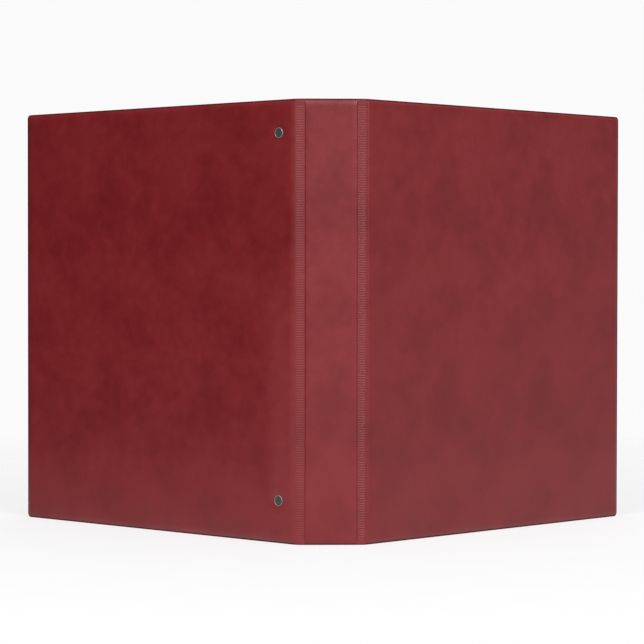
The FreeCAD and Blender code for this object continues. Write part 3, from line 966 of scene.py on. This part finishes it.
def coinPage(number):
    place = sheetFrame(number)
    body = f"coin_page_{number}"
    low, high = localBox(body + "_back_sheet", place)
    pocketLow, pocketHigh = localBox(body + "_pocket_sheet", place)
    hole = pageLook["hole"]
    spots = [(ringRadius, z) for z in ringHeights]
    marks = [k * hole / 4 for k in range(-4, 5)] + [-1.5 * hole, 1.5 * hole]
    onSheet = [m for m in marks if ringRadius + m > low[0] + 0.2 * mm]
    steps = [0, 0.5 * mm, 1 * mm, 2 * mm, 3 * mm, 4 * mm]
    across = gridLines(low[0], high[0], steps, pageLook["coarse"], [ringRadius], onSheet)
    up = gridLines(low[2], high[2], steps, pageLook["coarse"], ringHeights, marks)
    front, back = [], []
    for z in up:
        frontRow, backRow = [], []
        for u in across:
            x, y = aroundHole(u, z, spots, hole)
            x, y, depth = roundedCorner(x, y, low, high, pageLook["corner"])
            strip = 1 - smooth(pocketLow[0] - 2 * mm, pocketLow[0], x)
            strip *= smooth(*pageLook["ribsStart"], x)
            wave = 0.5 - 0.5 * math.cos(2 * math.pi * y / pageLook["rib"])
            ribs = pageLook["ribDepth"] * strip * wave
            frontRow.append((x, low[1], y))
            backRow.append((x, high[1] - ribs, y))
        front.append(frontRow)
        back.append(backRow)
    points, faces = thickGrid(front, back, offHoles(across, up, spots, hole))
    piece = makePiece(f"coin_page_{number}_punched_sheet", points, faces, place, [clearPocket])
    settle(piece, body, "clear_vinyl", body + "_back_sheet")

    weld, weldSoft, rise = pageLook["weld"], pageLook["weldSoft"], pageLook["rise"]
    columnLines = splitEven(pocketLow[0], pocketHigh[0], pageLook["columns"])
    rowLines = splitEven(pocketLow[2], pocketHigh[2], pageLook["rows"])
    beside = [weld / 2 - weldSoft, weld / 2, weld / 2 + rise, 3.5 * mm]
    weldSteps = [0] + beside + [-step for step in beside]
    steps = [0, weldSoft, weld - weldSoft, weld, weld + rise]
    coarse = pageLook["pocketCoarse"]
    us = gridLines(pocketLow[0], pocketHigh[0], steps, coarse, columnLines[1:-1], weldSteps)
    zs = gridLines(pocketLow[2], pocketHigh[2], steps, coarse, rowLines[1:-1], weldSteps)
    edges = weldLines(columnLines, weld)
    shelves = weldLines(rowLines, weld)
    tall = pocketHigh[1] - pocketLow[1] - pageLook["swell"]

    def toWeld(value, lines):
        return min(abs(value - line) for line in lines) - weld / 2

    front, back = [], []
    for z in zs:
        frontRow, backRow = [], []
        for u in us:
            away = min(toWeld(u, edges), toWeld(z, shelves))
            belly = pageLook["swell"] * smooth(0, pageLook["swellReach"], away)
            thick = lerp(pageLook["pressed"], tall, smooth(0, rise, away)) + belly
            frontRow.append((u, pocketLow[1] + 0.01 * mm, z))
            backRow.append((u, pocketLow[1] + thick, z))
        front.append(frontRow)
        back.append(backRow)
    points, faces = thickGrid(front, back)
    slots = []
    for face in faces:
        middle = faceMiddle(face, points)
        slots.append(1 if min(toWeld(middle[0], edges), toWeld(middle[1], shelves)) < 0 else 0)
    name = f"coin_page_{number}_pockets"
    piece = makePiece(name, points, faces, place, [clearPocket, clearWeld], None, None, slots)
    settle(piece, body, "clear_vinyl", body + "_pocket_sheet")


for number in range(1, pageLook["pages"] + 1):
    coinPage(number)
print("coin pages made")


pocketLook = {
    "weld": 2.2 * mm,
    "weldSoft": 0.4 * mm,
    "pressed": 0.2 * mm,
    "rise": 1 * mm,
    "lift": 0.04 * mm,
    "mouthLift": 0.5 * mm,
    "mouthTall": 45 * mm,
    "mouthWide": 60 * mm,
    "hem": 1.2 * mm,
    "coarse": 7 * mm,
}


def coverPocket(node, place, body):
    low, high = localBox(node, place)
    weld, weldSoft, rise = pocketLook["weld"], pocketLook["weldSoft"], pocketLook["rise"]
    steps = [0, weldSoft, weld - weldSoft, weld, weld + rise, 6 * mm]
    us = gridLines(low[0], high[0], steps, pocketLook["coarse"])
    zs = gridLines(low[2], high[2], steps, pocketLook["coarse"])
    front, back, slots = [], [], []
    for z in zs:
        frontRow, backRow = [], []
        for u in us:
            away = min(u - low[0], high[0] - u, z - low[2]) - weld
            mouth = smooth(high[2] - pocketLook["mouthTall"], high[2], z)
            mouth *= smooth(0, pocketLook["mouthWide"], away)
            lift = pocketLook["lift"] + pocketLook["mouthLift"] * mouth
            thick = lerp(pocketLook["pressed"], high[1] - low[1], smooth(0, rise, away))
            frontRow.append((u, low[1] + lift, z))
            backRow.append((u, low[1] + lift + thick, z))
        front.append(frontRow)
        back.append(backRow)
    points, faces = thickGrid(front, back)
    for face in faces:
        middle = faceMiddle(face, points)
        onWeld = min(middle[0] - low[0], high[0] - middle[0], middle[1] - low[2]) < weld
        slots.append(1 if onWeld or high[2] - middle[1] < pocketLook["hem"] else 0)
    name = node + "_sheet"
    piece = makePiece(name, points, faces, place, [clearPocket, clearWeld], None, None, slots)
    settle(piece, body, "clear_vinyl", node)


coverPocket("front_cover_pocket", frontPlace, "front_cover")
coverPocket("back_cover_pocket", backPlace, "back_cover")
for node in ("spine_board", "front_cover_board", "back_cover_board"):
    mesh = frame["nodes"][node].data
    mesh.materials.clear()
    mesh.materials.append(chipboard)
print("clear sheets and boards made")


# room: a pale floor that fades into the background, soft lights and the camera
roomLook = {
    "white": 0.956,
    "leftDark": 0.04,
    "rightShare": 0.28,
    "worldLevel": 0.72,
    "floorRadius": 2.6,
    "floorSpot": (0, 0.1, -0.0002),
    "floorTone": (0.25, 0.26),
    "floorCloud": 40 * mm,
    "floorGlow": 0.68,  # as the camera sees it
    "sideGlow": (-0.48, -0.10, 0.12, 0.60),  # what other rays meet, dimmer to the left
    "fadeFrom": 0.45,
    "fadeTo": 1.0,
}
lampLook = {
    "keyFront": {"spot": (1.0, -1.8, 1.5), "target": (0, 0.1, 0.15), "size": 1.2, "power": 29},
    "fillFront": {"spot": (-1.2, -1.8, 1.5), "target": (0, 0.1, 0.15), "size": 1.2, "power": 36},
    "overhead": {"spot": (0.1, -0.1, 2.2), "target": (0, 0.1, 0), "size": 1.6, "power": 8},
}
cameraLook = {
    "spot": (-0.0479, -1.5687, 0.1828),
    "yaw": 1.528,  # degrees
    "pitch": 1.284,
    "roll": -0.081,
    "lens": 132.76,
    "sensor": 36,
}


def makeFloor():
    mesh = bpy.data.meshes.new("floor")
    built = bmesh.new()
    bmesh.ops.create_circle(built, cap_ends=True, segments=96, radius=roomLook["floorRadius"])
    built.to_mesh(mesh)
    built.free()
    floor = bpy.data.objects.new("floor", mesh)
    floor.location = roomLook["floorSpot"]
    bpy.context.scene.collection.objects.link(floor)
    glow = {"Emission_Color": (1, 1, 1, 1)}
    material, tree, shader = startMaterial("paleFloor", Roughness=0.9, Specular_IOR_Level=0.1, **glow)
    place = addNode(tree, "TexCoord").outputs["Object"]
    aside = addNode(tree, "SeparateXYZ", {0: place}).outputs[0]
    shining = spread(tree, aside, *roomLook["sideGlow"])
    seen = addNode(tree, "LightPath").outputs["Is Camera Ray"]
    glows = {0: seen, 2: shining, 3: roomLook["floorGlow"]}
    strength = addNode(tree, "Mix", glows, data_type="FLOAT").outputs[0]
    tree.links.new(strength, shader.inputs["Emission Strength"])
    far = addNode(tree, "VectorMath", {0: place}, operation="LENGTH").outputs["Value"]
    clouds = speckle(tree, place, roomLook["floorCloud"], 2.0)
    grainTone = spread(tree, clouds, 0.3, 0.7, *roomLook["floorTone"])
    tone = addNode(tree, "CombineColor", {0: grainTone, 1: grainTone, 2: grainTone}).outputs[0]
    tree.links.new(tone, shader.inputs["Base Color"])
    fade = spread(tree, far, roomLook["fadeFrom"], roomLook["fadeTo"], 1.0, 0.0)
    tree.links.new(fade, shader.inputs["Alpha"])
    mesh.materials.append(material)


def makeWorld():
    world = bpy.data.worlds.new("softRoom")
    bpy.context.scene.world = world
    world.use_nodes = True
    tree = world.node_tree
    background = tree.nodes["Background"]
    way = addNode(tree, "SeparateXYZ", {0: addNode(tree, "TexCoord").outputs["Generated"]})
    left = spread(tree, way.outputs[0], -0.72, 0.05, roomLook["leftDark"], 1.0)
    right = spread(tree, way.outputs[0], 0.3, 0.9, 1.0, roomLook["rightShare"])
    low = spread(tree, way.outputs[2], -0.05, 0.0, 1.0, 0.0)
    lit = maths(tree, "MULTIPLY", left, maths(tree, "MAXIMUM", right, low))
    level = maths(tree, "MULTIPLY", lit, roomLook["worldLevel"])
    seen = addNode(tree, "LightPath").outputs["Is Camera Ray"]
    levels = {0: seen, 2: level, 3: roomLook["white"]}
    strength = addNode(tree, "Mix", levels, data_type="FLOAT").outputs[0]
    background.inputs["Color"].default_value = (1, 1, 1, 1)
    tree.links.new(strength, background.inputs["Strength"])


def areaLight(name, spot, target, size, power):
    light = bpy.data.lights.new(name, "AREA")
    light.shape = "DISK"
    light.size = size
    light.energy = power
    lamp = bpy.data.objects.new(name, light)
    lamp.location = spot
    lamp.rotation_euler = (Vector(target) - Vector(spot)).to_track_quat("-Z", "Y").to_euler()
    bpy.context.scene.collection.objects.link(lamp)


def makeCamera():
    yaw, pitch, roll = (math.radians(cameraLook[key]) for key in ("yaw", "pitch", "roll"))
    right = Vector((math.cos(yaw), -math.sin(yaw), 0))
    ahead = Vector((math.sin(yaw) * math.cos(pitch), math.cos(yaw) * math.cos(pitch), -math.sin(pitch)))
    up = right.cross(ahead)
    turnedRight = right * math.cos(roll) - up * math.sin(roll)
    turnedUp = right * math.sin(roll) + up * math.cos(roll)
    camera = bpy.data.objects.new("camera", bpy.data.cameras.new("camera"))
    camera.data.sensor_width = cameraLook["sensor"]
    camera.data.lens = cameraLook["lens"]
    turned = Matrix((turnedRight, turnedUp, -ahead)).transposed().to_4x4()
    camera.matrix_world = Matrix.Translation(cameraLook["spot"]) @ turned
    bpy.context.scene.collection.objects.link(camera)
    bpy.context.scene.camera = camera


makeFloor()
makeWorld()
for name, look in lampLook.items():
    areaLight(name, **look)
makeCamera()
bpy.context.scene.view_settings.view_transform = "Standard"
bpy.context.scene.cycles.transparent_max_bounces = 64
print("room made")
